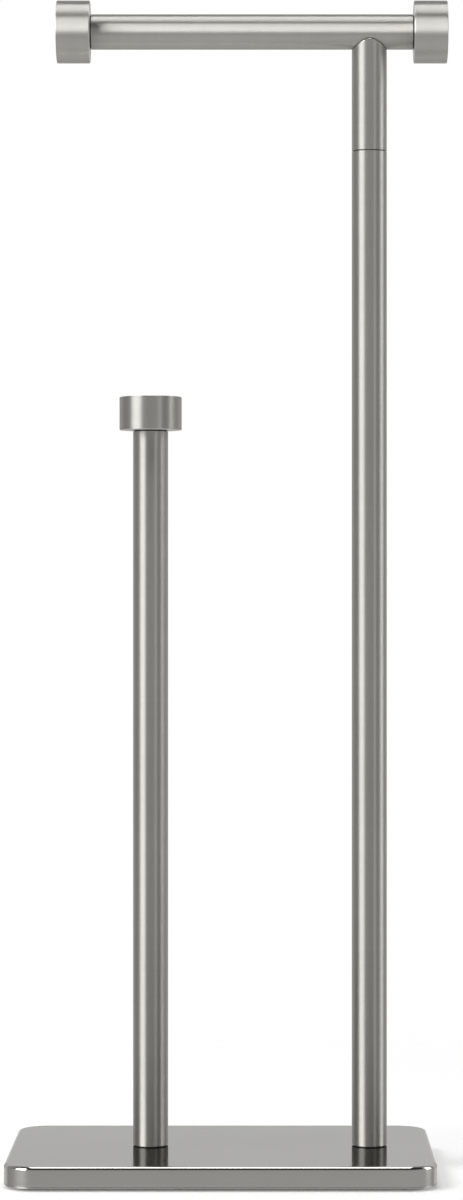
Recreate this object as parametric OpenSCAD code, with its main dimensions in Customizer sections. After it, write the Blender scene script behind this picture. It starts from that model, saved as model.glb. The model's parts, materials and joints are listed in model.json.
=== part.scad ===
// Free-standing toilet roll holder with a reserve post.
// A steel plate carries two posts. The tall one ends in a T-shaped head whose arm holds the roll in use,
// and the short one holds spare rolls. The head screws on and off the tall post, down to the ring in the seam.
// Millimetres, +Z up. The origin is on the floor, under the centre of the base plate, and -Y is the front.

/* [Base] */
// Width of the base plate, left to right
base_w = 216; // [200:1:260]
// Depth of the base plate, front to back
base_d = 142; // [110:1:200]
// Thickness of the base plate
base_t = 11.3; // [10.5:0.1:16]
// Corner radius of the base plate, seen from above
base_corner_r = 16; // [8:1:30]
// Rounding of the plate's top edge
base_top_r = 2; // [0.5:0.1:3]
// Rounding of the plate's bottom edge
base_bottom_r = 1.2; // [0.5:0.1:2.5]
// Thickness of the foam pad under the plate
pad_t = 1; // [0.8:0.1:3]
// How far the pad stops short of the plate's edge
pad_inset = 5; // [4:0.5:12]

/* [Tubes] */
// Outer diameter of every tube
tube_d = 18; // [16:0.5:20]
// Wall thickness of every tube
tube_wall = 1; // [0.8:0.1:1.5]

/* [Posts] */
// From the plate's right edge to the tall post's axis
post_inset = 32.1; // [28:0.1:45]
// From the tall post's axis to the reserve post's axis
post_gap = 112.3; // [95:0.1:130]
// The tall post's tube, from the plate up to the seam
post_l = 510; // [400:1:600]
// The part of the reserve post's tube that shows, from the plate up to its cap
reserve_l = 367.2; // [200:0.2:380]

/* [Head] */
// From the seam's ring up to the arm's axis
neck_rise = 61.1; // [55:0.1:80]
// From the tall post's axis to the left cap's inner face
arm_left = 143.4; // [120:0.2:160]
// From the tall post's axis to the right cap's inner face
arm_right = 22.9; // [15:0.1:40]
// Thickness of the ring in the seam
seam_t = 0.6; // [0.4:0.1:1.5]
// How far the ring stays inside the tube's outer face
seam_inset = 0.5; // [0.3:0.1:1]

/* [Caps] */
// Diameter of the three caps, which a roll's core slides over
cap_d = 32; // [28:0.5:36]
// Length of a cap
cap_l = 17; // [15:0.2:24]
// Rounding of a cap's edges
cap_edge_r = 0.5; // [0.3:0.1:1.5]
// How deep a tube's end sits in a cap
cap_socket = 8; // [5:0.5:8]
// Bevel at the mouth of that socket
cap_bevel = 0.4; // [0.2:0.1:0.8]
// Depth of the thread beyond the socket
cap_thread = 6; // [4:0.5:6]

/* [Plugs] */
// Length of the plugs in the tube ends that carry a cap
end_plug_l = 10; // [8:0.5:16]
// Length of the plugs in the feet of the posts
foot_plug_l = 18; // [15:0.5:30]
// Length of the threaded plug at the top of the tall post
top_plug_l = 20; // [18:0.5:30]
// Length of the threaded plug at the foot of the neck
neck_plug_l = 16; // [14:0.5:18]
// Thickness of the saddle plug below the arm's lowest line
saddle_plug_t = 6; // [4:0.5:8]
// Length of the cross nut inside the arm
arm_nut_l = 20; // [14:0.5:26]

/* [Screws] */
// Diameter of the foot screws and of the head's stud
main_thread_d = 8; // [6:0.5:8]
// Thread pitch of the foot screws and of the head's stud
main_pitch = 1.25; // [1:0.05:1.5]
// How far a foot screw reaches into its plug
foot_grip = 14; // [8:0.5:14]
// Head diameter of a foot screw
foot_head_d = 13; // [12:0.5:14]
// Head height of a foot screw
foot_head_h = 5; // [4:0.5:5]
// Diameter of the washer on a foot screw
washer_d = 16; // [15:0.5:17]
// Thickness of that washer
washer_t = 1.6; // [1:0.1:1.6]
// Diameter of the pocket for a foot screw in the plate's underside
pocket_d = 18; // [17.5:0.5:22]
// Plate left between that pocket and the post
pocket_web = 4.4; // [2:0.1:4.5]
// How much wider than that pocket the pad's hole is
pad_hole_extra = 2; // [0.5:0.5:6]
// How far the head's stud reaches into the tall post
stud_grip = 12; // [8:0.5:16]
// How far the head's stud reaches into the neck's plug
stud_root = 14; // [10:0.5:14]
// Diameter of the arm screw and of the cap studs
small_thread_d = 6; // [4:0.5:6]
// Thread pitch of the arm screw and of the cap studs
small_pitch = 1; // [0.7:0.05:1.2]
// Head diameter of the arm screw
arm_head_d = 10; // [8:0.5:11]
// Head height of the arm screw
arm_head_h = 6; // [4:0.5:7]
// How far the arm screw reaches past the arm's axis
arm_screw_past = 5; // [1:0.5:6]
// Width across the flats of the screws' hexagonal sockets
key_w = 5; // [4:0.5:6]
// Depth of those sockets
key_depth = 3; // [2:0.5:3.5]
// How far a cap stud reaches into its plug
cap_stud_root = 8; // [5:0.5:10]
// How far a cap stud stops short of the bottom of the cap's thread
cap_stud_short = 0.5; // [0.2:0.1:1.5]

/* [Clearances] */
// Radial clearance of a plug in its tube, and of a tube in its cap
plug_fit = 0.05; // [0.02:0.01:0.1]
// Radial clearance of a screw in its threaded hole
thread_fit = 0.05; // [0.02:0.01:0.1]
// Radial clearance of a screw in a plain hole
hole_fit = 0.4; // [0.2:0.1:0.6]
// Gap between the arm and what is shaped to its round underside
saddle_fit = 0.05; // [0.02:0.01:0.1]

/* [Hidden] */

$fn = 96;
nickel = [0.66, 0.655, 0.63];
zinc = [0.72, 0.74, 0.76];
foam = [0.10, 0.10, 0.10];
nylon = [0.16, 0.16, 0.16];

bore_d = tube_d - 2 * tube_wall;
plug_d = bore_d - 2 * plug_fit;
socket_d = tube_d + 2 * plug_fit;

post_x = base_w / 2 - post_inset;
reserve_x = post_x - post_gap;
plate_z = pad_t + base_t;
seam_z = plate_z + post_l;
neck_z = seam_z + seam_t;
arm_z = neck_z + neck_rise;
reserve_top_z = plate_z + reserve_l;

pocket_h = base_t - pocket_web;
washer_z = pad_t + pocket_h - washer_t;
foot_screw_l = washer_t + pocket_web + foot_grip;
pad_hole_d = pocket_d + pad_hole_extra;

saddle_r = tube_d / 2 + saddle_fit;
saddle_relief = 0.1;
saddle_plug_z = arm_z - tube_d / 2 - saddle_plug_t;

thread_share = 0.54;
hexagon = 6;
past = 1;

// Section of a slab, from its middle out to reach, with the two outer corners rounded
module rounded_section(reach, height, low_r, high_r) {
    translate([0, low_r])
        square([reach, height - low_r - high_r]);
    square([reach - low_r, height / 2]);
    translate([0, height / 2])
        square([reach - high_r, height / 2]);
    translate([reach - low_r, low_r])
        circle(r = low_r);
    translate([reach - high_r, height - high_r])
        circle(r = high_r);
}

// Rounded rectangle, centred
module rounded_rectangle(w, d, r) {
    square([w - 2 * r, d], center = true);
    square([w, d - 2 * r], center = true);
    for (sx = [-1, 1], sy = [-1, 1])
        translate([sx * (w / 2 - r), sy * (d / 2 - r)])
            circle(r = r);
}

// Plate with round corners and rounded top and bottom edges, standing on z = 0
module rounded_plate(w, d, t, corner_r, low_r, high_r) {
    long = w - 2 * corner_r;
    deep = d - 2 * corner_r;
    translate([-long / 2, -deep / 2, 0])
        cube([long, deep, t]);
    for (a = [0, 180])
        rotate([0, 0, a])
            translate([long / 2, deep / 2, 0])
                rotate([90, 0, 0])
                    linear_extrude(height = deep)
                        rounded_section(corner_r, t, low_r, high_r);
    for (a = [90, 270])
        rotate([0, 0, a])
            translate([deep / 2, long / 2, 0])
                rotate([90, 0, 0])
                    linear_extrude(height = long)
                        rounded_section(corner_r, t, low_r, high_r);
    for (sx = [0, 1], sy = [0, 1])
        mirror([sx, 0, 0])
            mirror([0, sy, 0])
                translate([long / 2, deep / 2, 0])
                    rotate_extrude(angle = 90)
                        rounded_section(corner_r, t, low_r, high_r);
}

// Tube standing on z = 0
module tube(length) {
    difference() {
        cylinder(d = tube_d, h = length);
        translate([0, 0, -past])
            cylinder(d = bore_d, h = length + 2 * past);
    }
}

// Round plug with a threaded hole through it, standing on z = 0
module threaded_plug(length, thread_d) {
    difference() {
        cylinder(d = plug_d, h = length);
        translate([0, 0, -past])
            cylinder(d = thread_d + 2 * thread_fit, h = length + 2 * past);
    }
}

// Threaded rod standing on z = 0: its ridges are rings, one for each pitch, and its tip is plain
module threaded_rod(thread_d, pitch, length) {
    turns = ceil(length / pitch) - 1;
    core_r = thread_d / 2 - thread_share * pitch;
    ridges = [for (i = [0 : turns - 1], crest = [false, true])
        crest ? [thread_d / 2, (i + 0.5) * pitch] : [core_r, i * pitch]];
    rotate_extrude()
        polygon(concat([[0, 0]], ridges, [[core_r, turns * pitch], [core_r, length], [0, length]]));
}

// Screw with a round head and a hexagonal socket; the head's underside is at z = 0 and the thread points up
module socket_screw(thread_d, pitch, length, head_d, head_h) {
    threaded_rod(thread_d, pitch, length);
    translate([0, 0, -head_h])
        difference() {
            cylinder(d = head_d, h = head_h);
            translate([0, 0, -past])
                cylinder(d = key_w / cos(180 / hexagon), h = key_depth + past, $fn = hexagon);
        }
}

// Cap standing on z = 0 with its open face down: a tube sits in its socket, and a stud in the thread above
module cap() {
    difference() {
        rotate_extrude()
            rounded_section(cap_d / 2, cap_l, cap_edge_r, cap_edge_r);
        translate([0, 0, -past])
            cylinder(d = socket_d, h = cap_socket + past);
        cylinder(d1 = socket_d + 2 * cap_bevel, d2 = socket_d, h = cap_bevel);
        cylinder(d = small_thread_d + 2 * thread_fit, h = cap_socket + cap_thread);
    }
}

// Stud that joins a cap to the plug in its tube; z = 0 is the tube's end
module cap_stud() {
    translate([0, 0, -cap_stud_root])
        threaded_rod(small_thread_d, small_pitch, cap_stud_root + cap_thread - cap_stud_short);
}

// Places a child, made along +Z at the tube's end, at the end of the reserve post's tube
module at_reserve_end() {
    translate([reserve_x, 0, reserve_top_z + cap_socket])
        children();
}

// Places a child, made along +Z at the tube's end, at the arm's left or right end
module at_arm_end(side) {
    reach = (side < 0 ? arm_left : arm_right) + cap_socket;
    translate([post_x + side * reach, 0, arm_z])
        rotate([0, side * 90, 0])
            children();
}

module base_plate() {
    color(nickel)
        difference() {
            translate([0, 0, pad_t])
                rounded_plate(base_w, base_d, base_t, base_corner_r, base_bottom_r, base_top_r);
            for (x = [post_x, reserve_x])
                translate([x, 0, 0]) {
                    cylinder(d = pocket_d, h = pad_t + pocket_h);
                    cylinder(d = main_thread_d + 2 * hole_fit, h = plate_z + past);
                }
        }
}

module base_pad() {
    color(foam)
        linear_extrude(height = pad_t)
            difference() {
                rounded_rectangle(
                    base_w - 2 * pad_inset,
                    base_d - 2 * pad_inset,
                    base_corner_r - pad_inset
                );
                for (x = [post_x, reserve_x])
                    translate([x, 0])
                        circle(d = pad_hole_d);
            }
}

module foot_plug(x) {
    color(zinc)
        translate([x, 0, plate_z])
            threaded_plug(foot_plug_l, main_thread_d);
}

module foot_washer(x) {
    color(zinc)
        translate([x, 0, washer_z])
            difference() {
                cylinder(d = washer_d, h = washer_t);
                translate([0, 0, -past])
                    cylinder(d = main_thread_d + 2 * hole_fit, h = washer_t + 2 * past);
            }
}

module foot_screw(x) {
    color(zinc)
        translate([x, 0, washer_z])
            socket_screw(main_thread_d, main_pitch, foot_screw_l, foot_head_d, foot_head_h);
}

module reserve_tube() {
    color(nickel)
        translate([reserve_x, 0, plate_z])
            tube(reserve_l + cap_socket);
}

module post_tube() {
    color(nickel)
        translate([post_x, 0, plate_z])
            tube(post_l);
}

module post_top_plug() {
    color(zinc)
        translate([post_x, 0, seam_z - top_plug_l])
            threaded_plug(top_plug_l, main_thread_d);
}

module seam_ring() {
    color(nylon)
        translate([post_x, 0, seam_z])
            difference() {
                cylinder(d = tube_d - 2 * seam_inset, h = seam_t);
                translate([0, 0, -past])
                    cylinder(d = main_thread_d + 2 * hole_fit, h = seam_t + 2 * past);
            }
}

module head_stud() {
    color(zinc)
        translate([post_x, 0, seam_z - stud_grip])
            threaded_rod(main_thread_d, main_pitch, stud_grip + seam_t + stud_root);
}

module neck_plug() {
    color(zinc)
        translate([post_x, 0, neck_z])
            threaded_plug(neck_plug_l, main_thread_d);
}

// What is cut off the neck's top, seen from the front: its edge is where the tube's bore meets the arm,
// so that the wall ends in a full edge and not in a feather
module fish_mouth() {
    steps = 12;
    half = tube_d / 2;
    bore_r = bore_d / 2;
    edge = [for (i = [-steps : steps])
        let (x = i / steps * (half + past))
            [x, -saddle_relief - sqrt(saddle_r * saddle_r - bore_r * bore_r * (1 - x * x / (half * half)))]];
    translate([0, tube_d / 2 + past, 0])
        rotate([90, 0, 0])
            linear_extrude(height = tube_d + 2 * past)
                polygon(concat(edge, [[half + past, past], [-half - past, past]]));
}

module neck_tube() {
    color(nickel)
        difference() {
            translate([post_x, 0, neck_z])
                tube(neck_rise);
            translate([post_x, 0, arm_z])
                fish_mouth();
            translate([post_x - tube_d, 0, arm_z])
                rotate([0, 90, 0])
                    cylinder(r = saddle_r, h = 2 * tube_d);
        }
}

module saddle_plug() {
    color(zinc)
        difference() {
            translate([post_x, 0, saddle_plug_z])
                cylinder(d = plug_d, h = arm_z - saddle_plug_z);
            translate([post_x - tube_d, 0, arm_z])
                rotate([0, 90, 0])
                    cylinder(r = saddle_r, h = 2 * tube_d);
            translate([post_x, 0, saddle_plug_z - past])
                cylinder(d = small_thread_d + 2 * hole_fit, h = tube_d);
        }
}

module arm_screw() {
    length = saddle_plug_t + tube_d / 2 + arm_screw_past;
    color(zinc)
        translate([post_x, 0, saddle_plug_z])
            socket_screw(small_thread_d, small_pitch, length, arm_head_d, arm_head_h);
}

module arm_nut() {
    color(zinc)
        difference() {
            translate([post_x - arm_nut_l / 2, 0, arm_z])
                rotate([0, 90, 0])
                    cylinder(d = plug_d, h = arm_nut_l);
            translate([post_x, 0, arm_z - tube_d / 2])
                cylinder(d = small_thread_d + 2 * thread_fit, h = tube_d);
        }
}

module arm_tube() {
    color(nickel)
        difference() {
            translate([post_x - arm_left - cap_socket, 0, arm_z])
                rotate([0, 90, 0])
                    tube(arm_left + arm_right + 2 * cap_socket);
            translate([post_x, 0, arm_z - tube_d])
                cylinder(d = small_thread_d + 2 * hole_fit, h = tube_d);
        }
}

module end_plug() {
    color(zinc)
        translate([0, 0, -end_plug_l])
            threaded_plug(end_plug_l, small_thread_d);
}

module end_stud() {
    color(zinc)
        cap_stud();
}

module end_cap() {
    color(nickel)
        translate([0, 0, -cap_socket])
            cap();
}

base_plate();
base_pad();
reserve_tube();
foot_plug(reserve_x);  // reserve_foot_plug
foot_washer(reserve_x);  // reserve_foot_washer
foot_screw(reserve_x);  // reserve_foot_screw
at_reserve_end() end_plug();  // reserve_end_plug
at_reserve_end() end_stud();  // reserve_cap_stud
at_reserve_end() end_cap();  // reserve_cap
post_tube();
foot_plug(post_x);  // post_foot_plug
foot_washer(post_x);  // post_foot_washer
foot_screw(post_x);  // post_foot_screw
post_top_plug();
seam_ring();
head_stud();
neck_plug();
neck_tube();
saddle_plug();
arm_screw();
arm_nut();
arm_tube();
at_arm_end(-1) end_plug();  // left_end_plug
at_arm_end(-1) end_stud();  // left_cap_stud
at_arm_end(-1) end_cap();  // left_cap
at_arm_end(1) end_plug();  // right_end_plug
at_arm_end(1) end_stud();  // right_cap_stud
at_arm_end(1) end_cap();  // right_cap
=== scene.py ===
"""The looks of a free-standing toilet roll holder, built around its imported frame.

Metres, +Z up. The origin is on the floor under the middle of the base plate, and -Y is the front.
Sizes and places come from the frame. Most pieces are turned from a profile about their own axis line.
The map named brush holds metres. Its v runs along the brushing: round the axis, or along X on the plate.
"""

import json
import math

import bmesh
import bpy
from mathutils import Matrix, Vector

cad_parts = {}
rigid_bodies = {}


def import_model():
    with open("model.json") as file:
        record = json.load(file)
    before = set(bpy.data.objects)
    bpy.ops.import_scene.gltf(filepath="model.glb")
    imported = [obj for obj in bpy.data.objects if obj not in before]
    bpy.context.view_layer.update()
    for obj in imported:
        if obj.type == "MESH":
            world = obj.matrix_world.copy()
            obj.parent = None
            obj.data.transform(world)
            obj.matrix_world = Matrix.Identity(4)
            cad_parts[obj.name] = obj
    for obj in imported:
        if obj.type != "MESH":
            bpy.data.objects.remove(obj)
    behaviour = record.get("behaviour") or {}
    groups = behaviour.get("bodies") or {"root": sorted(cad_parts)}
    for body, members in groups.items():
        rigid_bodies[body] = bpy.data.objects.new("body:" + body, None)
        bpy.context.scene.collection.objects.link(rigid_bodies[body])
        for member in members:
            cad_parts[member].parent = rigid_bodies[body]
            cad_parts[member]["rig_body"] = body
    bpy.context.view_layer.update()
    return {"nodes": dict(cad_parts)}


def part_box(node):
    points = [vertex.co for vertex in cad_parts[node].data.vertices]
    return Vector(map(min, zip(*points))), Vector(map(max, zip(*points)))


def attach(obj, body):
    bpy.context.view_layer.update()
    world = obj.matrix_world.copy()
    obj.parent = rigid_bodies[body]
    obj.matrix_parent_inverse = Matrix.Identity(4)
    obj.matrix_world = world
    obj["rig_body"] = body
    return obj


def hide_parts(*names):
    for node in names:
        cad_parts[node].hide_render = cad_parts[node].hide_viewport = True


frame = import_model()

MM = 0.001
BRUSH = "brush"

# How finely round things are divided
ROUND = 144
THREAD_ROUND = 48
FILLET_STEPS = 6
PLATE_CORNER_STEPS = 24
SADDLE_STEPS = 12
SMOOTH_ANGLE = math.radians(32)

# Points nearer to each other than this become one, and nothing is divided by less than TINY
WELD = 1e-7
TINY = 1e-6

# A rounding that would take up its whole side takes this share of it, so that no two points fall together
ALMOST = 0.999

# The plate and the pad under it
PLATE_CORNER_R = 16 * MM
PLATE_TOP_R = 2 * MM
PLATE_BOTTOM_R = 1.2 * MM
PAD_CORNER_R = 11 * MM
PAD_EDGE_R = 0.25 * MM
PAD_HOLE_R = 10 * MM

# Clearances and small roundings, which the frame's boxes don't tell
PLUG_FIT = 0.05 * MM
THREAD_FIT = 0.05 * MM
SADDLE_FIT = 0.05 * MM
SEAT_FIT = 0.02 * MM
HOLE_FIT = 0.4 * MM
POCKET_FIT = 2.5 * MM
EDGE = 0.15 * MM
TUBE_EDGE = 0.12 * MM
PLUG_BEVEL = 0.4 * MM
RING_EDGE = 0.1 * MM
STAMPED_EDGE = 0.25 * MM

# Where a tube meets a cap or the plate it has a groove, whose faces are painted black as painted shade, so
# the joint shows a dark line
GROOVE_W = 0.75 * MM
FOOT_GROOVE_W = 0.55 * MM
GROOVE_DEPTH = 0.6 * MM
GROOVE_INSIDE = 0.4 * MM

# The caps: the socket takes the tube's end, and the thread behind it takes the stud
SOCKET_DEPTH = 8 * MM
SOCKET_BEVEL = 0.4 * MM
CAP_EDGE_R = 0.5 * MM
CAP_THREAD_L = 6 * MM

# Threads: pitch, depth as a share of the pitch, and one turn as (share of the pitch, 1 at the crest)
MAIN_PITCH = 1.25 * MM
SMALL_PITCH = 1.0 * MM
THREAD_SHARE = 0.54
THREAD_SHAPE = [(-1 / 16, 1), (1 / 16, 1), (3 / 8, 0), (5 / 8, 0)]

# Screw heads and their hexagonal sockets
MAIN_HEAD_H = 5 * MM
SMALL_HEAD_H = 6 * MM
HEAD_EDGE_R = 0.6 * MM
KEY_W = 5 * MM
KEY_DEPTH = 3 * MM
KEY_BEVEL = 0.3 * MM
KEY_TIP = 0.8 * MM
HEXAGON = 6


def span_x(node):
    low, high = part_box(node)
    return low.x, high.x


def span_z(node):
    low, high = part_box(node)
    return low.z, high.z


def middle(span):
    return (span[0] + span[1]) / 2


def width(span):
    return span[1] - span[0]


def outer_radius(node):
    """The radius of a node whose axis is upright"""
    return width(span_x(node)) / 2


# The axis lines. A piece's local Z is its axis, and its height along it is the frame's own coordinate
POST_X = middle(span_x("post_tube"))
RESERVE_X = middle(span_x("reserve_tube"))
ARM_Z = middle(span_z("arm_tube"))
POST = Matrix.Translation((POST_X, 0, 0))
RESERVE = Matrix.Translation((RESERVE_X, 0, 0))
RIGHT = Matrix.Translation((0, 0, ARM_Z)) @ Matrix.Rotation(math.pi / 2, 4, "Y")
LEFT = Matrix.Translation((0, 0, ARM_Z)) @ Matrix.Rotation(-math.pi / 2, 4, "Y")

TUBE_R = width(span_z("arm_tube")) / 2
PLUG_R = width(span_z("arm_nut")) / 2
BORE_R = PLUG_R + PLUG_FIT
CAP_R = width(span_z("left_cap")) / 2
MAIN_R = outer_radius("head_stud")
SMALL_R = width(span_z("right_cap_stud")) / 2


def extent(node, axis):
    """Where a node starts and ends along an axis line, in that line's own coordinate"""
    low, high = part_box(node)
    if axis is RIGHT:
        return low.x, high.x
    if axis is LEFT:
        return -high.x, -low.x
    return low.z, high.z


# Profiles


def arc(before, corner, after, radius, steps=FILLET_STEPS):
    """The points that round a profile's corner"""
    a, c, b = Vector(before), Vector(corner), Vector(after)
    to_a, to_b = (a - c).normalized(), (b - c).normalized()
    half = to_a.angle(to_b) / 2
    reach = radius / math.tan(half)
    centre = c + (to_a + to_b).normalized() * radius / math.sin(half)
    start, end = c + to_a * reach - centre, c + to_b * reach - centre
    turn = math.pi - 2 * half
    points = []
    for i in range(steps + 1):
        t = i / steps
        spoke = start * math.sin((1 - t) * turn) + end * math.sin(t * turn)
        points.append(centre + spoke / math.sin(turn))
    return points


def rounded(corners, closed=True):
    """A profile from corners (r, z) or (r, z, rounding)"""
    path = []
    last = len(corners) - 1
    for i, corner in enumerate(corners):
        point = Vector(corner[:2])
        if len(corner) == 2 or (not closed and i in (0, last)):
            path.append(point)
            continue
        after = corners[0 if i == last else i + 1]
        path.extend(arc(corners[i - 1][:2], corner[:2], after[:2], corner[2]))
    return path + path[:1] if closed else path


def constant(value):
    return lambda angle: value


def ring(r, z, u, map_r, count=ROUND):
    """One ring of (place, u, v). The angle is 0 at the back, and r, z and u may be functions of it

    A piece has one map_r for all its rings, so that u always runs straight along the profile.
    """
    r, z, u = (f if callable(f) else constant(f) for f in (r, z, u))
    points = []
    for i in range(count + 1):
        a = 2 * math.pi * i / count
        points.append((Vector((-math.sin(a) * r(a), math.cos(a) * r(a), z(a))), u(a), a * map_r))
    return points


def turned(path, count=ROUND):
    """The rings of a profile turned about its axis"""
    rings, u = [], 0
    map_r = max(p.x for p in path)
    for i, p in enumerate(path):
        if i:
            u += (p - path[i - 1]).length
        rings.append(ring(p.x, p.y, u, map_r, count))
    return rings


def thread(radius, pitch, low, high, fit=0, hole=False, count=THREAD_ROUND):
    """Rows of a right-hand helical thread from low to high

    Its ends are bevelled. A rod's ends are narrow and a hole's are wide.
    """
    depth = THREAD_SHARE * pitch
    first, last = math.floor(low / pitch) - 1, math.ceil(high / pitch) + 1
    rows = []
    for turn in range(first, last + 1):
        for share, crest in THREAD_SHAPE:
            row = []
            for i in range(count + 1):
                a = 2 * math.pi * i / count
                z = min(max((turn + share + i / count) * pitch, low), high)
                r = radius + fit - (1 - crest) * depth
                bevel = min(z - low, high - z)
                edge = radius + fit - bevel if hole else radius - depth + bevel
                r = max(r, edge) if hole else min(r, edge)
                row.append((Vector((-math.sin(a) * r, math.cos(a) * r, z)), z, a * radius))
            rows.append(row)
    return rows


# Meshes


def add_grid(bm, rings, slot=0):
    """Faces between neighbouring rings"""
    layer = bm.loops.layers.uv.get(BRUSH) or bm.loops.layers.uv.new(BRUSH)
    made = [[bm.verts.new(place) for place, _, _ in points] for points in rings]
    for j in range(len(rings) - 1):
        for i in range(len(rings[j]) - 1):
            corners = [(j, i), (j, i + 1), (j + 1, i + 1), (j + 1, i)]
            face = bm.faces.new([made[a][b] for a, b in corners])
            face.material_index = slot
            for loop, (a, b) in zip(face.loops, corners):
                loop[layer].uv = rings[a][b][1:]


def make_mesh(name, *sets):
    """One closed mesh from grids of rings, welded where they meet. Each set of grids gets its own material"""
    bm = bmesh.new()
    for slot, grids in enumerate(sets):
        for rings in grids:
            add_grid(bm, rings, slot)
    return finish_mesh(name, bm)


def finish_mesh(name, bm):
    """Welds what was added, turns its faces outwards and makes the mesh, with its corners kept sharp"""
    bmesh.ops.remove_doubles(bm, verts=bm.verts, dist=WELD)
    bmesh.ops.dissolve_degenerate(bm, edges=bm.edges, dist=WELD)
    bmesh.ops.recalc_face_normals(bm, faces=bm.faces)
    mesh = bpy.data.meshes.new(name)
    bm.to_mesh(mesh)
    bm.free()
    mesh.shade_smooth()
    mesh.set_sharp_from_angle(angle=SMOOTH_ANGLE)
    return mesh


def dress(node, mesh, axis, *materials):
    """Makes the piece that stands for a node, on the node's own body"""
    piece = bpy.data.objects.new(node + ".fine", mesh)
    bpy.context.scene.collection.objects.link(piece)
    piece.matrix_world = axis
    for material in materials:
        mesh.materials.append(material)
    weighted = piece.modifiers.new("flat faces stay flat", "WEIGHTED_NORMAL")
    weighted.keep_sharp = True
    weighted.weight = 100
    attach(piece, frame["nodes"][node]["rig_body"])
    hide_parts(node)
    return piece


# Materials


NICKEL_COLOUR = (0.66, 0.65, 0.613)
ZINC_COLOUR = (0.70, 0.72, 0.74)
GRAIN_DEPTH = 0.02 * MM

# How bright metal is at a glancing angle, as a share of what the plain rule gives
EDGE_TINT = 0.6
TOP_EDGE_TINT = 0.38


def new_material(name):
    material = bpy.data.materials.new(name)
    material.use_nodes = True
    nodes = material.node_tree.nodes
    return material, nodes, material.node_tree.links, nodes["Principled BSDF"]


def noise(nodes, links, coordinates, scale, detail=2, roughness=0.5):
    """A noise over coordinates that are stretched by scale first"""
    mapping = nodes.new("ShaderNodeMapping")
    mapping.inputs["Scale"].default_value = scale
    links.new(coordinates, mapping.inputs["Vector"])
    texture = nodes.new("ShaderNodeTexNoise")
    texture.inputs["Scale"].default_value = 1
    texture.inputs["Detail"].default_value = detail
    texture.inputs["Roughness"].default_value = roughness
    links.new(mapping.outputs["Vector"], texture.inputs["Vector"])
    return texture.outputs["Fac"]


def spread(nodes, links, value, low, high):
    """A noise's middle range stretched to low and high"""
    span = nodes.new("ShaderNodeMapRange")
    span.inputs["From Min"].default_value = 0.3
    span.inputs["From Max"].default_value = 0.7
    span.inputs["To Min"].default_value = low
    span.inputs["To Max"].default_value = high
    links.new(value, span.inputs["Value"])
    return span.outputs["Result"]


def brushed_metal(name, colour, roughness, anisotropy, grain, tint=0.03, edge_tint=EDGE_TINT):
    """Metal with fine lines along v, so that it mirrors sharply along v and softly along u

    The grain is how much the lines stand out, and the tint is how far the colour drifts either way.
    """
    material, nodes, links, shader = new_material(name)
    shader.inputs["Metallic"].default_value = 1
    shader.inputs["Anisotropic"].default_value = anisotropy
    shader.inputs["Specular Tint"].default_value = (edge_tint, edge_tint, edge_tint, 1)
    brush = nodes.new("ShaderNodeUVMap")
    brush.uv_map = BRUSH
    tangent = nodes.new("ShaderNodeTangent")
    tangent.direction_type = "UV_MAP"
    tangent.uv_map = BRUSH
    links.new(tangent.outputs["Tangent"], shader.inputs["Tangent"])

    fine = noise(nodes, links, brush.outputs["UV"], (5200, 36, 1), detail=3, roughness=0.6)
    broad = noise(nodes, links, brush.outputs["UV"], (620, 9, 1), detail=2)
    links.new(spread(nodes, links, broad, roughness * 0.97, roughness * 1.03), shader.inputs["Roughness"])

    place = nodes.new("ShaderNodeTexCoord")
    cloud = noise(nodes, links, place.outputs["Object"], (14, 14, 14), detail=3)
    colours = nodes.new("ShaderNodeMix")
    colours.data_type = "RGBA"
    colours.inputs["A"].default_value = (*[c * (1 - tint) for c in colour], 1)
    colours.inputs["B"].default_value = (*[min(c * (1 + tint), 1) for c in colour], 1)
    links.new(spread(nodes, links, cloud, 0, 1), colours.inputs["Factor"])
    links.new(colours.outputs["Result"], shader.inputs["Base Color"])

    bump = nodes.new("ShaderNodeBump")
    bump.inputs["Strength"].default_value = grain
    bump.inputs["Distance"].default_value = GRAIN_DEPTH
    links.new(fine, bump.inputs["Height"])
    links.new(bump.outputs["Normal"], shader.inputs["Normal"])
    return material


def foam_rubber():
    """Closed-cell foam with a fine pitted skin"""
    material, nodes, links, shader = new_material("foam")
    shader.inputs["Specular IOR Level"].default_value = 0.25
    place = nodes.new("ShaderNodeTexCoord")
    cells = nodes.new("ShaderNodeTexVoronoi")
    cells.inputs["Scale"].default_value = 1400
    links.new(place.outputs["Object"], cells.inputs["Vector"])
    shade = nodes.new("ShaderNodeMix")
    shade.data_type = "RGBA"
    shade.inputs["A"].default_value = (0.028, 0.028, 0.028, 1)
    shade.inputs["B"].default_value = (0.07, 0.07, 0.069, 1)
    links.new(cells.outputs["Distance"], shade.inputs["Factor"])
    links.new(shade.outputs["Result"], shader.inputs["Base Color"])
    rough = noise(nodes, links, place.outputs["Object"], (400, 400, 400))
    links.new(spread(nodes, links, rough, 0.82, 0.95), shader.inputs["Roughness"])
    bump = nodes.new("ShaderNodeBump")
    bump.inputs["Strength"].default_value = 0.6
    bump.inputs["Distance"].default_value = 0.2 * MM
    links.new(cells.outputs["Distance"], bump.inputs["Height"])
    links.new(bump.outputs["Normal"], shader.inputs["Normal"])
    return material


def black_nylon_and_shade():
    """Matt nylon with a faint turned grain. The same black stands as painted shade in the tubes' grooves and
    the neck's top
    """
    material, nodes, links, shader = new_material("nylon")
    place = nodes.new("ShaderNodeTexCoord")
    grain = noise(nodes, links, place.outputs["Object"], (900, 900, 6000))
    shade = nodes.new("ShaderNodeMix")
    shade.data_type = "RGBA"
    shade.inputs["A"].default_value = (0.018, 0.018, 0.019, 1)
    shade.inputs["B"].default_value = (0.034, 0.034, 0.035, 1)
    links.new(grain, shade.inputs["Factor"])
    links.new(shade.outputs["Result"], shader.inputs["Base Color"])
    links.new(spread(nodes, links, grain, 0.45, 0.6), shader.inputs["Roughness"])
    return material


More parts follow.
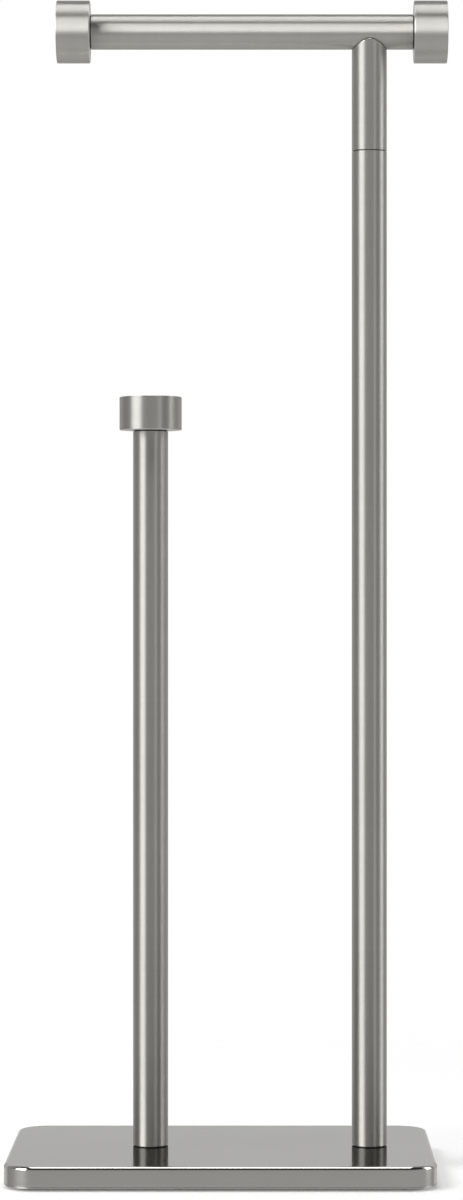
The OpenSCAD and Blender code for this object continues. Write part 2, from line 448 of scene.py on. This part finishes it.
NICKEL = brushed_metal("nickel", NICKEL_COLOUR, roughness=0.56, anisotropy=1.0, grain=0.1)
FINE_NICKEL = brushed_metal("fine_nickel", NICKEL_COLOUR, roughness=0.2, anisotropy=0.5, grain=0.05)
TOP_NICKEL = brushed_metal(
    "top_nickel",
    NICKEL_COLOUR,
    roughness=0.12,
    anisotropy=0.5,
    grain=0.05,
    edge_tint=TOP_EDGE_TINT
)
ZINC = brushed_metal("zinc", ZINC_COLOUR, roughness=0.36, anisotropy=0.6, grain=0.2, tint=0.05)
FOAM = foam_rubber()
# Black nylon for the seam ring, and painted shade in the grooves and the neck's top
NYLON_AND_SHADE = black_nylon_and_shade()


# The base


def outline(w, d, corner_r, steps=PLATE_CORNER_STEPS):
    """A rounded rectangle as (place, way out, length round the edge), closed"""
    points = []
    for sx, sy, start in ((1, 1, 0), (-1, 1, 90), (-1, -1, 180), (1, -1, 270)):
        centre = Vector((sx * (w / 2 - corner_r), sy * (d / 2 - corner_r)))
        for i in range(steps + 1):
            a = math.radians(start + 90 * i / steps)
            out = Vector((math.cos(a), math.sin(a)))
            points.append((centre + out * corner_r, out))
    points.append(points[0])
    run, result = 0, []
    for i, (place, out) in enumerate(points):
        if i:
            run += (place - points[i - 1][0]).length
        result.append((place, out, run))
    return result


def edge_rings(shape, path):
    """Rings round a slab's outline; path has (how far inside the outline, z)"""
    rings, u = [], 0
    for i, p in enumerate(path):
        if i:
            u += (p - path[i - 1]).length
        rings.append([
            ((place - out * p.x).to_3d() + Vector((0, 0, p.y)), u, run)
            for place, out, run in shape
        ])
    return rings


def add_flat(bm, loops, up, slot=0):
    """Fills a flat face between an outline and its holes. Its lines run along X"""
    layer = bm.loops.layers.uv.get(BRUSH) or bm.loops.layers.uv.new(BRUSH)
    edges = []
    for loop in loops:
        verts = [bm.verts.new(place) for place in loop]
        edges += [bm.edges.new((verts[i - 1], verts[i])) for i in range(len(verts))]
    made = bmesh.ops.triangle_fill(bm, edges=edges, use_beauty=True, use_dissolve=False, normal=(0, 0, up))
    for face in (f for f in made["geom"] if isinstance(f, bmesh.types.BMFace)):
        face.material_index = slot
        for corner in face.loops:
            corner[layer].uv = (corner.vert.co.y, corner.vert.co.x)


def moved(rings, x):
    """Rings moved along X"""
    return [[(place + Vector((x, 0, 0)), u, v) for place, u, v in points] for points in rings]


def places(points):
    """A closed ring's places, without the last, which is the first again"""
    return [place for place, _, _ in points[:-1]]


def circle(x, r, z):
    """A circle's places, the same as a ring's"""
    return places(moved([ring(r, z, 0, r)], x)[0])


def slab_rings(low, high, corner_r, low_r, high_r):
    """Rings round a rounded slab's edge, from its underside to its top"""
    path = rounded([
        (low_r, low.z),
        (0, low.z, low_r * ALMOST),
        (0, high.z, high_r * ALMOST),
        (high_r, high.z)
    ], closed=False)
    return edge_rings(outline(high.x - low.x, high.y - low.y, corner_r), path)


def base_plate():
    """Its wall is fine, its lower rounding brushed, and its upper rounding and its top nearly polished"""
    low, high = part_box("base_plate")
    rings = slab_rings(low, high, PLATE_CORNER_R, PLATE_BOTTOM_R, PLATE_TOP_R)
    wall_low = 1 + FILLET_STEPS
    wall_high = wall_low + 1
    fine, brushed, polished = range(3)
    bm = bmesh.new()
    add_grid(bm, rings[:wall_low + 1], brushed)
    add_grid(bm, rings[wall_low:wall_high + 1], fine)
    add_grid(bm, rings[wall_high:], polished)
    pocket_r = outer_radius("post_foot_screw") + POCKET_FIT
    pocket_z = span_z("post_foot_washer")[1]
    hole_r = MAIN_R + HOLE_FIT
    holes = (POST_X, RESERVE_X)
    for x in holes:
        walls = rounded([
            (pocket_r, low.z),
            (pocket_r, pocket_z, EDGE),
            (hole_r, pocket_z, EDGE),
            (hole_r, high.z)
        ], closed=False)
        add_grid(bm, moved(turned(walls), x), fine)
    add_flat(bm, [places(rings[0])] + [circle(x, pocket_r, low.z) for x in holes], -1, fine)
    add_flat(bm, [places(rings[-1])] + [circle(x, hole_r, high.z) for x in holes], 1, polished)
    mesh = finish_mesh("base_plate.fine", bm)
    dress("base_plate", mesh, Matrix.Identity(4), FINE_NICKEL, NICKEL, TOP_NICKEL)


def base_pad():
    """One flat sheet of foam with a hole for each foot screw"""
    low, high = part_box("base_pad")
    rings = slab_rings(low, high, PAD_CORNER_R, PAD_EDGE_R, PAD_EDGE_R)
    holes = (POST_X, RESERVE_X)
    bm = bmesh.new()
    add_grid(bm, rings)
    for x in holes:
        add_grid(bm, moved(turned([Vector((PAD_HOLE_R, low.z)), Vector((PAD_HOLE_R, high.z))]), x))
    for points, z, up in ((rings[0], low.z, -1), (rings[-1], high.z, 1)):
        add_flat(bm, [places(points)] + [circle(x, PAD_HOLE_R, z) for x in holes], up)
    pad = dress("base_pad", finish_mesh("base_pad.fine", bm), Matrix.Identity(4), FOAM)


# The tubes


def tube(node, axis, *grooves):
    """A tube with grooves whose faces are painted black as painted shade, each given as where it starts and
    ends along the axis
    """
    low, high = extent(node, axis)
    floor_r = TUBE_R - GROOVE_DEPTH
    inside = (BORE_R, (low + high) / 2)
    line = [inside, (BORE_R, low, TUBE_EDGE)]
    if grooves[0][0] > low:
        line.append((TUBE_R, low, TUBE_EDGE))
    brushed, dark = [], []
    for start, end in grooves:
        groove = [(floor_r, start), (floor_r, end), (TUBE_R, end)]
        if start > low:
            groove.insert(0, (TUBE_R, start))
        brushed.append(line + groove[:1])
        dark.append(groove)
        line = [(TUBE_R, end)]
    brushed.append(line + [(TUBE_R, high, TUBE_EDGE), (BORE_R, high, TUBE_EDGE), inside])
    grids, dark_grids = ([turned(rounded(some, closed=False)) for some in lines] for lines in (brushed, dark))
    # The grooves' faces take the black material: painted shade in the joint
    dress(node, make_mesh(node + ".fine", grids, dark_grids), axis, NICKEL, NYLON_AND_SHADE)


def tubes():
    """The groove at a foot is above the plate, and one at a cap starts just inside the cap"""
    for node, axis in (("post_tube", POST), ("reserve_tube", RESERVE)):
        low = extent(node, axis)[0]
        grooves = [(low, low + FOOT_GROOVE_W)]
        if node == "reserve_tube":
            face = extent("reserve_cap", axis)[0]
            grooves.append((face - GROOVE_W, face + GROOVE_INSIDE))
        tube(node, axis, *grooves)
    left, right = span_x("left_cap")[1], span_x("right_cap")[0]
    left_groove = (left - GROOVE_INSIDE, left + GROOVE_W)
    right_groove = (right - GROOVE_W, right + GROOVE_INSIDE)
    tube("arm_tube", RIGHT, left_groove, right_groove)


def neck_tube():
    """The neck's top is cut to the arm: its edge is where the bore meets the arm, seen from the front"""
    low, high = extent("neck_tube", POST)
    relief, lip, saddle_r = 0.3 * MM, 0.45 * MM, TUBE_R + SADDLE_FIT
    foot_l, sleeve_l = 3 * MM, 12 * MM

    def cut(x):
        return ARM_Z - relief - math.sqrt(saddle_r**2 - BORE_R**2 * (1 - (x / TUBE_R) ** 2))

    def under_arm(r, drop):
        """The lower of the cut and the arm's own surface"""
        def height(a):
            x, y = r * math.sin(a), r * math.cos(a)
            arm = ARM_Z - math.sqrt(max(saddle_r**2 - y**2, 0))
            return min(cut(x), arm) - drop
        return height

    lower = rounded([
        (BORE_R, low + foot_l),
        (BORE_R, low, TUBE_EDGE),
        (TUBE_R, low, TUBE_EDGE),
        (TUBE_R, low + foot_l)
    ], closed=False)
    outside = turned(lower)
    start = outside[-1][0][1]
    steps = [i / FILLET_STEPS * math.pi / 2 for i in range(FILLET_STEPS + 1)]
    rim = [(TUBE_R - lip * (1 - math.cos(turn)), lip * (1 - math.sin(turn))) for turn in steps]
    parts = []
    for heights in ([(TUBE_R, sleeve_l), rim[0]], rim, [rim[-1], (BORE_R, 0), (BORE_R, sleeve_l)]):
        rings = []
        for r, drop in heights:
            z = under_arm(r, drop)
            rings.append(ring(r, z, lambda a, z=z: start + z(a) - low, TUBE_R))
        parts.append(rings)
    outside.append(parts[0][0])
    inside = [parts[2][-1], outside[0]]
    # The cut top face and the bore just under it take the black material: painted shade in the gap under the
    # arm
    mesh = make_mesh("neck_tube.fine", [outside, parts[0], inside], [parts[1]], [parts[2]])
    dress("neck_tube", mesh, POST, NICKEL, FINE_NICKEL, NYLON_AND_SHADE)


# The caps


def cap(node, axis):
    """A turned cap: the tube's end sits in its socket, and a stud in the thread behind"""
    low, high = extent(node, axis)
    socket_r, hole_r = TUBE_R + PLUG_FIT, SMALL_R + THREAD_FIT
    seat = low + SOCKET_DEPTH
    bottom = seat + CAP_THREAD_L
    low_edge = arc((socket_r, low), (CAP_R, low), (CAP_R, high), CAP_EDGE_R)
    high_edge = arc((CAP_R, low), (CAP_R, high), (0, high), CAP_EDGE_R)
    face = rounded([
        (hole_r, seat),
        (socket_r, seat, EDGE),
        (socket_r, low + SOCKET_BEVEL),
        (socket_r + SOCKET_BEVEL, low)
    ], closed=False)
    brushed = [
        turned(face + low_edge + high_edge),
        thread(SMALL_R, SMALL_PITCH, seat, bottom, THREAD_FIT, hole=True, count=ROUND),
        turned([Vector((hole_r, bottom)), Vector((0, bottom))])
    ]
    fine = [turned([high_edge[-1], Vector((0, high))])]
    dress(node, make_mesh(node + ".fine", brushed, fine), axis, NICKEL, FINE_NICKEL)


# What holds it together


def threaded_plug(node, axis, thread_r, pitch):
    low, high = extent(node, axis)
    hole_r = thread_r + THREAD_FIT
    path = rounded([
        (hole_r, low),
        (PLUG_R - PLUG_BEVEL, low),
        (PLUG_R, low + PLUG_BEVEL),
        (PLUG_R, high - PLUG_BEVEL),
        (PLUG_R - PLUG_BEVEL, high),
        (hole_r, high)
    ], closed=False)
    inner = thread(thread_r, pitch, low, high, THREAD_FIT, hole=True, count=ROUND)
    dress(node, make_mesh(node + ".fine", [turned(path), inner]), axis, ZINC)


def rod_end(radius, z, count=THREAD_ROUND):
    """The flat face that ends a threaded rod"""
    return turned([Vector((radius, z)), Vector((0, z))], count)


def stud(node, axis, thread_r, pitch):
    low, high = extent(node, axis)
    core_r = thread_r - THREAD_SHARE * pitch
    grids = [thread(thread_r, pitch, low, high), rod_end(core_r, low), rod_end(core_r, high)]
    dress(node, make_mesh(node + ".fine", grids), axis, ZINC)


def hexagon_r(a):
    """Distance from the axis to a hexagonal socket's wall"""
    sixth = 2 * math.pi / HEXAGON
    return KEY_W / 2 / math.cos((a % sixth) - sixth / 2)


def socket_screw(node, axis, thread_r, pitch, head_h):
    """A screw whose head is at its low end and whose thread points up"""
    low, high = extent(node, axis)
    count = 2 * THREAD_ROUND
    head_r = outer_radius(node)
    core_r = thread_r - THREAD_SHARE * pitch
    seat = low + head_h
    outer = rounded([
        (core_r, seat),
        (head_r, seat, EDGE),
        (head_r, low, HEAD_EDGE_R),
        (KEY_W / 2 / math.cos(math.pi / HEXAGON) + KEY_BEVEL, low)
    ], closed=False)
    rings = turned(outer, count)
    u = rings[-1][0][1]
    rings.append(ring(hexagon_r, low + KEY_BEVEL, u + KEY_BEVEL, head_r, count))
    rings.append(ring(hexagon_r, low + KEY_DEPTH, u + KEY_DEPTH, head_r, count))
    rings.append(ring(0, low + KEY_DEPTH + KEY_TIP, u + KEY_DEPTH + KEY_W / 2, head_r, count))
    grids = [rings, thread(thread_r, pitch, seat, high, count=count), rod_end(core_r, high, count)]
    dress(node, make_mesh(node + ".fine", grids), axis, ZINC)


def washer(node, axis):
    low, high = extent(node, axis)
    outer_r, inner_r = outer_radius(node), MAIN_R + HOLE_FIT
    path = rounded([
        (inner_r, low, RING_EDGE),
        (outer_r, low, STAMPED_EDGE),
        (outer_r, high, RING_EDGE),
        (inner_r, high, RING_EDGE)
    ])
    dress(node, make_mesh(node + ".fine", [turned(path)]), axis, ZINC)


def seam_ring():
    """The ring is a hair thinner than the seam, so that it doesn't touch the faces it turns on"""
    low, high = extent("seam_ring", POST)
    low, high = low + SEAT_FIT, high - SEAT_FIT
    outer_r, inner_r = outer_radius("seam_ring"), MAIN_R + HOLE_FIT
    path = rounded([
        (inner_r, low, RING_EDGE),
        (outer_r, low, RING_EDGE),
        (outer_r, high, RING_EDGE),
        (inner_r, high, RING_EDGE)
    ])
    dress("seam_ring", make_mesh("seam_ring.fine", [turned(path)]), POST, NYLON_AND_SHADE)


def saddle_plug():
    """The plug at the neck's top: its upper face is shaped to the arm"""
    low = extent("saddle_plug", POST)[0]
    bevel, hole_r, saddle_r = 0.8 * MM, SMALL_R + HOLE_FIT, TUBE_R + SADDLE_FIT

    def saddle(r, drop=0):
        return lambda a: ARM_Z - math.sqrt(saddle_r**2 - (r * math.cos(a)) ** 2) - drop

    flat_r = PLUG_R - bevel
    heights = [(PLUG_R, low + bevel), (PLUG_R, saddle(PLUG_R, bevel))]
    radii = [flat_r + (hole_r - flat_r) * i / SADDLE_STEPS for i in range(SADDLE_STEPS + 1)]
    heights += [(r, saddle(r)) for r in radii]
    heights += [(hole_r, low), (flat_r, low), (PLUG_R, low + bevel)]
    rings = [ring(r, z, i * MM, PLUG_R) for i, (r, z) in enumerate(heights)]
    dress("saddle_plug", make_mesh("saddle_plug.fine", [rings]), POST, ZINC)


def arm_nut():
    """A round bar along the arm, with a threaded hole across its middle on the post's axis"""
    half = width(span_x("arm_nut")) / 2
    hole_r, mouth = SMALL_R + THREAD_FIT, 0.9 * MM
    low, high = (ARM_Z + side * (PLUG_R - mouth) for side in (-1, 1))

    def surface(side, share):
        """A ring on the upper or lower side, a share of the way from the hole to the bar's outline"""
        def out(a):
            edge = min(half / max(abs(math.sin(a)), TINY), PLUG_R / max(abs(math.cos(a)), TINY))
            return hole_r + (edge - hole_r) * share

        def up(a):
            return ARM_Z + side * math.sqrt(max(PLUG_R**2 - (out(a) * math.cos(a)) ** 2, 0))
        return ring(out, up, side * share * half, PLUG_R)

    shares = [math.sin(i / SADDLE_STEPS * math.pi / 2) for i in range(SADDLE_STEPS + 1)]
    outside = [surface(1, share) for share in shares] + [surface(-1, share) for share in reversed(shares)]
    mouths = [[ring(hole_r, high, 0, PLUG_R), outside[0]], [outside[-1], ring(hole_r, low, 0, PLUG_R)]]
    hole = thread(SMALL_R, SMALL_PITCH, low, high, THREAD_FIT, hole=True, count=ROUND)
    dress("arm_nut", make_mesh("arm_nut.fine", [outside, hole] + mouths), POST, ZINC)


def build():
    base_plate()
    base_pad()
    tubes()
    for foot, axis in (("post", POST), ("reserve", RESERVE)):
        threaded_plug(foot + "_foot_plug", axis, MAIN_R, MAIN_PITCH)
        washer(foot + "_foot_washer", axis)
        socket_screw(foot + "_foot_screw", axis, MAIN_R, MAIN_PITCH, MAIN_HEAD_H)
    for end, axis in (("reserve", RESERVE), ("left", LEFT), ("right", RIGHT)):
        threaded_plug(end + "_end_plug", axis, SMALL_R, SMALL_PITCH)
        stud(end + "_cap_stud", axis, SMALL_R, SMALL_PITCH)
        cap(end + "_cap", axis)
    threaded_plug("post_top_plug", POST, MAIN_R, MAIN_PITCH)
    seam_ring()
    stud("head_stud", POST, MAIN_R, MAIN_PITCH)
    threaded_plug("neck_plug", POST, MAIN_R, MAIN_PITCH)
    neck_tube()
    saddle_plug()
    arm_nut()
    socket_screw("arm_screw", POST, SMALL_R, SMALL_PITCH, SMALL_HEAD_H)


# Light, floor and camera


SOFTBOX_DISTANCE = 4
KEY_AZIMUTH = -54.5


def area_light(name, location, w, d, radiance):
    """A rectangle of light that looks down and isn't seen itself"""
    light = bpy.data.lights.new(name, "AREA")
    light.shape = "RECTANGLE"
    light.size = w
    light.size_y = d
    light.energy = radiance * math.pi * w * d
    lamp = bpy.data.objects.new(name, light)
    bpy.context.scene.collection.objects.link(lamp)
    lamp.location = location
    lamp.visible_camera = False
    return lamp


def softbox(name, azimuth, low, high, w, radiance):
    """An upright light that faces the object. Azimuth 0 is towards the camera, and minus is to its left"""
    a = math.radians(azimuth)
    x, y = SOFTBOX_DISTANCE * math.sin(a), -SOFTBOX_DISTANCE * math.cos(a)
    lamp = area_light(name, (x, y, (low + high) / 2), w, high - low, radiance)
    lamp.rotation_euler = (math.pi / 2, 0, a)
    return lamp


def light_only(lamp, nodes):
    """Keeps a lamp's light to some nodes' pieces"""
    receivers = bpy.data.collections.new(lamp.name + "_receivers")
    for node in nodes:
        receivers.objects.link(bpy.data.objects[node + ".fine"])
    lamp.light_linking.receiver_collection = receivers


def room():
    """White to the eye, and an even grey that lights matt things

    Metal mirrors a grey floor, a dim room on the camera's side and a bright backdrop behind the object.
    """
    world = bpy.data.worlds.new("room")
    world.use_nodes = True
    bpy.context.scene.world = world
    nodes, links = world.node_tree.nodes, world.node_tree.links
    background = nodes["Background"]
    background.inputs["Color"].default_value = (1, 1, 1, 1)
    way = nodes.new("ShaderNodeTexCoord")
    parts = nodes.new("ShaderNodeSeparateXYZ")
    links.new(way.outputs["Generated"], parts.inputs["Vector"])

    def blend(value, low, high, below, above):
        """One strength where value is under low, another where it is over high, and a soft change between"""
        span = nodes.new("ShaderNodeMapRange")
        span.interpolation_type = "SMOOTHSTEP"
        span.inputs["From Min"].default_value = low
        span.inputs["From Max"].default_value = high
        for socket, source in (("To Min", below), ("To Max", above)):
            if isinstance(source, float):
                span.inputs[socket].default_value = source
            else:
                links.new(source, span.inputs[socket])
        links.new(value, span.inputs["Value"])
        return span.outputs["Result"]

    ahead, up = parts.outputs["Y"], parts.outputs["Z"]
    front = blend(up, 0.15, 0.4, 0.36, 0.03)
    sides = blend(ahead, 0.4, 0.8, 0.32, 0.88)
    backdrop = blend(ahead, 0.86, 0.97, sides, 1.36)
    behind = blend(up, 0.65, 0.9, backdrop, 0.2)
    walls = blend(ahead, -0.25, 0.25, front, behind)
    grey = blend(up, -0.5, -0.15, 0.79, walls)
    path = nodes.new("ShaderNodeLightPath")
    pale = blend(path.outputs["Is Diffuse Ray"], 0.4, 0.6, grey, 0.5)
    seen = blend(path.outputs["Is Camera Ray"], 0.4, 0.6, pale, 1.0)
    links.new(seen, background.inputs["Strength"])


def floor():
    """A white floor that only the camera sees, and only from above. It fades out all round"""
    mesh = bpy.data.meshes.new("floor")
    half, z = 0.7, -0.0001
    corners = [(-half, -half, z), (half, -half, z), (half, half, z), (-half, half, z)]
    mesh.from_pydata(corners, [], [(0, 1, 2, 3)])
    ground = bpy.data.objects.new("floor", mesh)
    bpy.context.scene.collection.objects.link(ground)
    material, nodes, links, shader = new_material("floor")
    shader.inputs["Base Color"].default_value = (0.9, 0.9, 0.9, 1)
    shader.inputs["Roughness"].default_value = 1
    shader.inputs["Specular IOR Level"].default_value = 0
    shader.inputs["Emission Color"].default_value = (1, 1, 1, 1)
    shader.inputs["Emission Strength"].default_value = 0.08
    place = nodes.new("ShaderNodeTexCoord")
    distance = nodes.new("ShaderNodeVectorMath")
    distance.operation = "LENGTH"
    links.new(place.outputs["Object"], distance.inputs[0])
    far = nodes.new("ShaderNodeMapRange")
    far.interpolation_type = "SMOOTHSTEP"
    far.inputs["From Min"].default_value = 0.3
    far.inputs["From Max"].default_value = 0.65
    links.new(distance.outputs["Value"], far.inputs["Value"])
    side = nodes.new("ShaderNodeNewGeometry")
    unseen = nodes.new("ShaderNodeMath")
    unseen.operation = "MAXIMUM"
    links.new(far.outputs["Result"], unseen.inputs[0])
    links.new(side.outputs["Backfacing"], unseen.inputs[1])
    clear = nodes.new("ShaderNodeBsdfTransparent")
    mix = nodes.new("ShaderNodeMixShader")
    links.new(unseen.outputs["Value"], mix.inputs["Fac"])
    links.new(shader.outputs["BSDF"], mix.inputs[1])
    links.new(clear.outputs["BSDF"], mix.inputs[2])
    links.new(mix.outputs["Shader"], nodes["Material Output"].inputs["Surface"])
    mesh.materials.append(material)
    for ray in ("diffuse", "glossy", "transmission", "volume_scatter", "shadow"):
        setattr(ground, "visible_" + ray, False)


def camera():
    """The photograph's camera: level, at the height of the middle of the picture"""
    data = bpy.data.cameras.new("camera")
    data.lens = 108
    data.sensor_width = 36
    data.sensor_fit = "AUTO"
    data.shift_x = -0.0165
    eye = bpy.data.objects.new("camera", data)
    bpy.context.scene.collection.objects.link(eye)
    eye.location = (0.0153, -1.849, 0.2923)
    eye.rotation_euler = (math.pi / 2, 0, 0)
    bpy.context.scene.camera = eye


def studio():
    """The key light and the arm's stronger one stand in one place, so each lights only its own pieces"""
    bpy.context.scene.view_settings.view_transform = "Standard"
    camera()
    room()
    floor()
    key = softbox("key", KEY_AZIMUTH, low=0.2, high=3.7, w=2.8, radiance=5.0)
    rim = softbox("rim", 91, low=-0.2, high=3.5, w=1.75, radiance=2.35)
    fill = softbox("front_fill", 36.7, low=-0.5, high=3, w=0.55, radiance=2.1)
    arm_key = softbox("arm_key", KEY_AZIMUTH, low=0.3, high=4.1, w=2.8, radiance=8.0)
    arm = ("arm_tube", "left_cap", "right_cap")
    light_only(arm_key, arm)
    light_only(key, [node for node in frame["nodes"] if node not in arm])
    light_only(fill, [node for node in frame["nodes"] if node != "base_plate"])
    # The upright lights show only in metal, and the floor's key light shows only on matt things
    for lamp in (key, rim, fill, arm_key):
        lamp.visible_diffuse = False
    area_light("overhead", (0, -0.05, 2), w=1.0, d=1.25, radiance=3.4)
    floor_key = area_light("floor_key", (-1.75, -0.81, 2.3), w=1.2, d=1.2, radiance=7.2)
    floor_key.rotation_euler = floor_key.location.to_track_quat("Z", "Y").to_euler()
    floor_key.visible_glossy = False


build()
studio()
